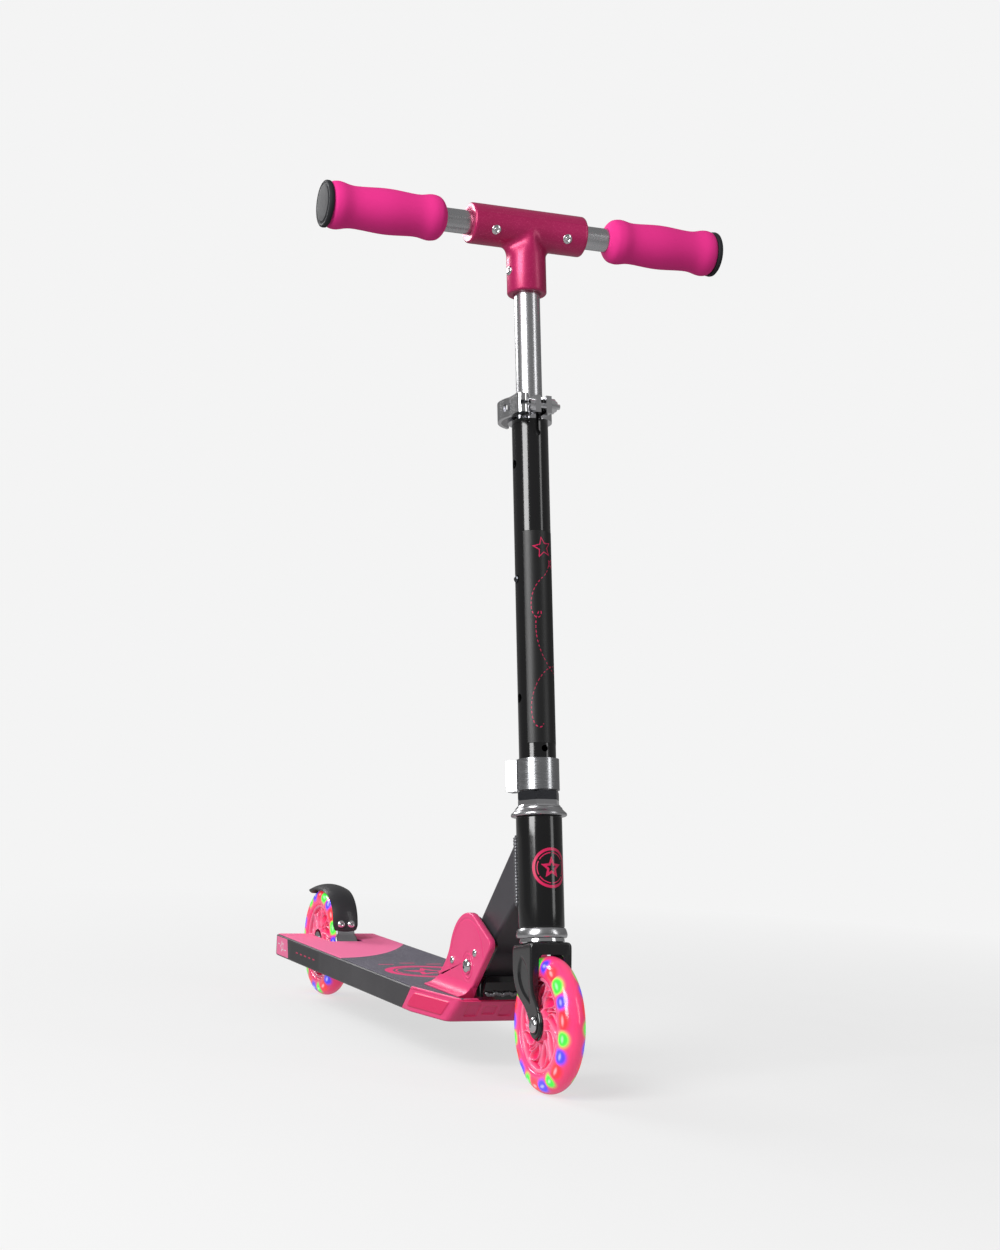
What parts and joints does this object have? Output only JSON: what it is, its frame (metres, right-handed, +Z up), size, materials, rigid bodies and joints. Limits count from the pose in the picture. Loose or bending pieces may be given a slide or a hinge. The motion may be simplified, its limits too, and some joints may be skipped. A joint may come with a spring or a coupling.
{
  "type": "folding kick scooter",
  "caption": "Child's folding kick scooter: aluminium deck, telescopic T-handlebar with foam grips, light-up wheels and a rear fender brake.",
  "frame": {"origin": "on the ground, midway between the two axles and on the centre plane", "axes": "+Z up, +Y towards the rear wheel, +X towards the rider's left"},
  "size_m": [0.399, 0.751, 0.8063],
  "materials": {
    "satin_deck": "dark anodised satin",
    "griptape": "gritty two-colour grip tape",
    "pink_plastic": "satin moulded plastic",
    "black_steel": "gloss powder coat",
    "chrome": "bright plated",
    "steel": "zinc plated",
    "alloy": "polished",
    "nylon": "natural",
    "foam": "closed-cell foam",
    "black_plastic": "moulded",
    "tyre": "translucent polyurethane",
    "led": "clear lens"
  },
  "bodies": {
    "deck": {"deck_extrusion": "satin_deck", "griptape": "griptape", "front_bumper": "pink_plastic", "hinge_bracket": "black_steel", "hinge_cover_right": "pink_plastic", "hinge_cover_left": "pink_plastic", "cover_screws": "chrome", "fold_bolt": "steel", "rear_end_plugs": "black_plastic", "rear_axle_bolt": "steel", "rear_axle_nut": "steel", "rear_axle_spacers": "steel", "brake_rivets": "steel", "fold_lever_pin": "steel"},
    "fold_lever": {"fold_lever": "chrome"},
    "neck": {"neck": "black_steel", "head_tube": "black_steel", "pivot_bushes": "nylon", "headset_cup_upper": "chrome", "headset_cup_lower": "chrome"},
    "fork": {"fork": "black_steel", "steerer_tube": "steel", "crown_race": "steel", "headset_bearings": "steel", "adjusting_nut": "steel", "lock_nut": "steel", "column_tube": "black_steel", "column_clamp": "alloy", "column_clamp_bolts": "steel", "guide_bush": "nylon", "quick_release_collar": "chrome", "clamp_bolt": "steel", "clamp_nut": "chrome", "front_axle_bolt": "steel", "front_axle_nut": "steel", "front_axle_washers": "black_plastic", "front_axle_spacer": "steel", "clamp_lever_pin": "steel"},
    "clamp_lever": {"clamp_lever": "chrome"},
    "handlebar": {"inner_tube": "alloy", "t_sleeve": "pink_plastic", "t_sleeve_screws": "chrome", "crossbar": "alloy", "grip_right": "foam", "grip_left": "foam", "end_caps": "black_plastic"},
    "lock_button": {"lock_button": "steel"},
    "front_wheel": {"front_tyre": "tyre", "front_core": "pink_plastic", "front_bearings": "steel", "front_led_units": "led"},
    "rear_wheel": {"rear_tyre": "tyre", "rear_core": "pink_plastic", "rear_bearings": "steel", "rear_led_units": "led"},
    "brake": {"brake_fender": "black_steel", "brake_plate": "steel", "brake_screws": "chrome"}
  },
  "joints": [
    {"name": "fold_hinge", "type": "hinge", "parent": "deck", "child": "neck", "pos_m": [0, -0.1925, 0.096], "axis": [1, 0, 0], "range_deg": [-80.4, 0]},
    {"name": "fold_lever_swing", "type": "hinge", "parent": "deck", "child": "fold_lever", "pos_m": [0.04, -0.1925, 0.096], "axis": [0, 0, -1], "range_deg": [0, 105]},
    {"name": "steering", "type": "hinge", "parent": "neck", "child": "fork", "pos_m": [0, -0.28132, 0.19012], "axis": [0, 0.1668, 0.986], "continuous": true},
    {"name": "telescope", "type": "slide", "parent": "fork", "child": "handlebar", "axis": [0, -0.1668, -0.986], "range_m": [-0.1, 0.1], "deforming": ["lock_button"]},
    {"name": "clamp_lever_swing", "type": "hinge", "parent": "fork", "child": "clamp_lever", "pos_m": [-0.019, -0.23715, 0.61318], "axis": [0, 0.1668, 0.986], "range_deg": [0, 110]},
    {"name": "button_press", "type": "slide", "parent": "handlebar", "child": "lock_button", "axis": [1, 0, 0], "range_m": [0, 0.0042], "stiffness_N_per_m": 1500},
    {"name": "front_wheel_spin", "type": "hinge", "parent": "fork", "child": "front_wheel", "pos_m": [0, -0.3155, 0.06], "axis": [1, 0, 0], "continuous": true},
    {"name": "rear_wheel_spin", "type": "hinge", "parent": "deck", "child": "rear_wheel", "pos_m": [0, 0.3155, 0.06], "axis": [1, 0, 0], "continuous": true},
    {"name": "brake_press", "type": "hinge", "parent": "deck", "child": "brake", "pos_m": [0, 0.2451, 0.0634], "axis": [1, 0, 0], "range_deg": [-1.2, 0], "stiffness_Nm_per_rad": 40, "deforming": ["brake_plate"]}
  ]
}
